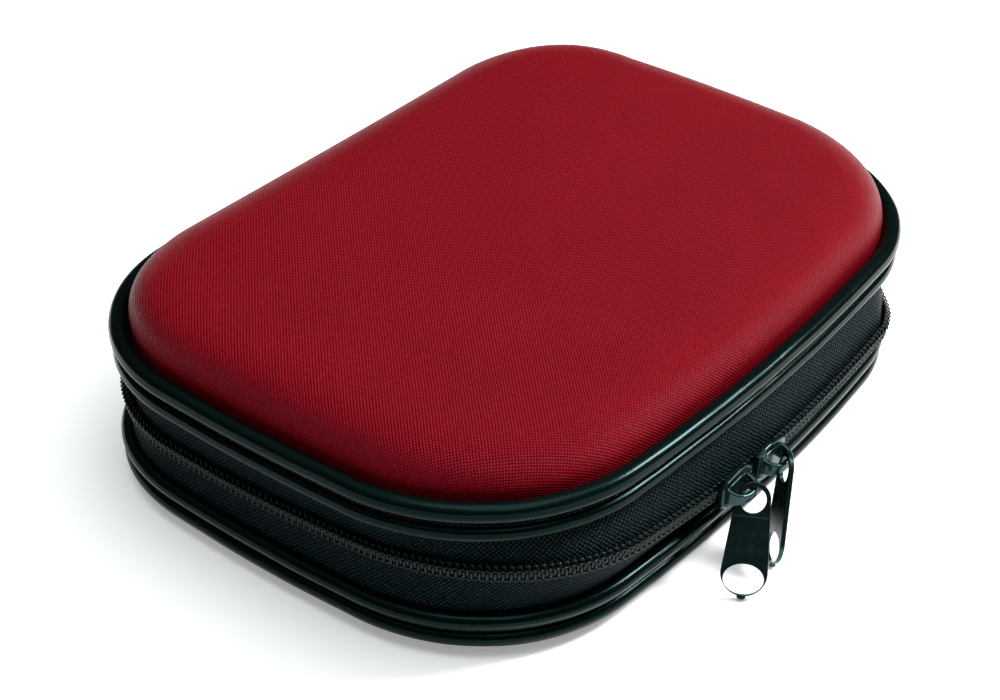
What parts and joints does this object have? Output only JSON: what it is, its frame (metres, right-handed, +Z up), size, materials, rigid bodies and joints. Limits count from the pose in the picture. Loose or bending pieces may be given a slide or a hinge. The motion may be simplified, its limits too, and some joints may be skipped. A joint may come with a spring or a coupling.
{
  "type": "zip-round first aid kit",
  "caption": "Soft-shell first aid kit: padded red cloth lid and base with black piping, a zip round three sides, two sliders with pull tabs, and dressings and tools inside.",
  "frame": {"origin": "centre of the case's underside, on the surface it rests on; the sliders and pull tabs reach further out on -Y than anything does on +Y, so the bounding box is not centred on it", "axes": "+Z up; X along the case; -Y the side with the zip sliders, +Y the hinge side"},
  "size_m": [0.1696, 0.1385, 0.0448],
  "materials": {
    "red_cloth": "matte",
    "lining": "matte",
    "pvc": "glossy",
    "tape": "matte",
    "coil": "satin",
    "gunmetal": "black nickel, glossy",
    "net": "matte",
    "elastic": "matte",
    "paper": "matte",
    "film_blue": "clear film",
    "foil": "satin foil",
    "gauze": "matte",
    "plaster": "matte",
    "spool": "matte",
    "steel": "polished"
  },
  "bodies": {
    "base": {"base_cover": "red_cloth", "base_lining": "lining", "base_piping_upper": "pvc", "base_piping_lower": "pvc", "base_edge_band": "tape", "zip_tape_base": "tape", "zip_coil_base": "coil", "hinge_tape_base": "tape", "glove_packet": "film_blue", "triangular_bandage": "gauze", "gauze_packet_1": "paper", "gauze_packet_2": "paper", "plaster_1": "plaster", "plaster_2": "plaster", "plaster_3": "plaster", "wipe_sachet_1": "foil", "wipe_sachet_2": "foil", "wipe_sachet_3": "foil", "roll_bandage_1": "gauze", "roll_bandage_2": "gauze", "elastic_loop": "elastic", "tape_roll": "paper", "tape_spool": "spool"},
    "lid": {"lid_cover": "red_cloth", "lid_lining": "lining", "lid_piping_upper": "pvc", "lid_piping_lower": "pvc", "lid_edge_band": "tape", "zip_tape_lid": "tape", "zip_coil_lid": "coil", "hinge_tape_lid": "tape", "net_pocket": "net", "net_pocket_binding": "elastic", "scissor_blade_lower": "steel", "scissor_rivet": "steel", "tweezers": "steel"},
    "scissor_half": {"scissor_blade_upper": "steel"},
    "slider_left": {"slider_left": "gunmetal"},
    "pull_tab_left": {"pull_tab_left": "gunmetal"},
    "slider_right": {"slider_right": "gunmetal"},
    "pull_tab_right": {"pull_tab_right": "gunmetal"}
  },
  "joints": [
    {"name": "lid_hinge", "type": "hinge", "parent": "base", "child": "lid", "pos_m": [0, 0.0628, 0.0192], "axis": [-1, 0, 0], "range_deg": [0, 150]},
    {"name": "slider_left_run", "type": "hinge", "parent": "base", "child": "slider_left", "pos_m": [0, 0.4375, 0.0192], "axis": [0, 0, 1], "range_deg": [-2, 0]},
    {"name": "slider_right_run", "type": "hinge", "parent": "base", "child": "slider_right", "pos_m": [0, 0.4375, 0.0192], "axis": [0, 0, 1], "range_deg": [0, 5.6]},
    {"name": "pull_tab_left_swing", "type": "hinge", "parent": "slider_left", "child": "pull_tab_left", "pos_m": [-0.02, -0.0689, 0.0192], "axis": [-1, 0, 0], "range_deg": [-2, 110]},
    {"name": "pull_tab_right_swing", "type": "hinge", "parent": "slider_right", "child": "pull_tab_right", "pos_m": [-0.0076, -0.06924, 0.0192], "axis": [-1, 0, 0], "range_deg": [-2, 110]},
    {"name": "scissor_pivot", "type": "hinge", "parent": "lid", "child": "scissor_half", "pos_m": [0.005, -0.004, 0.039], "axis": [0, 0, 1], "range_deg": [0, 35]}
  ]
}
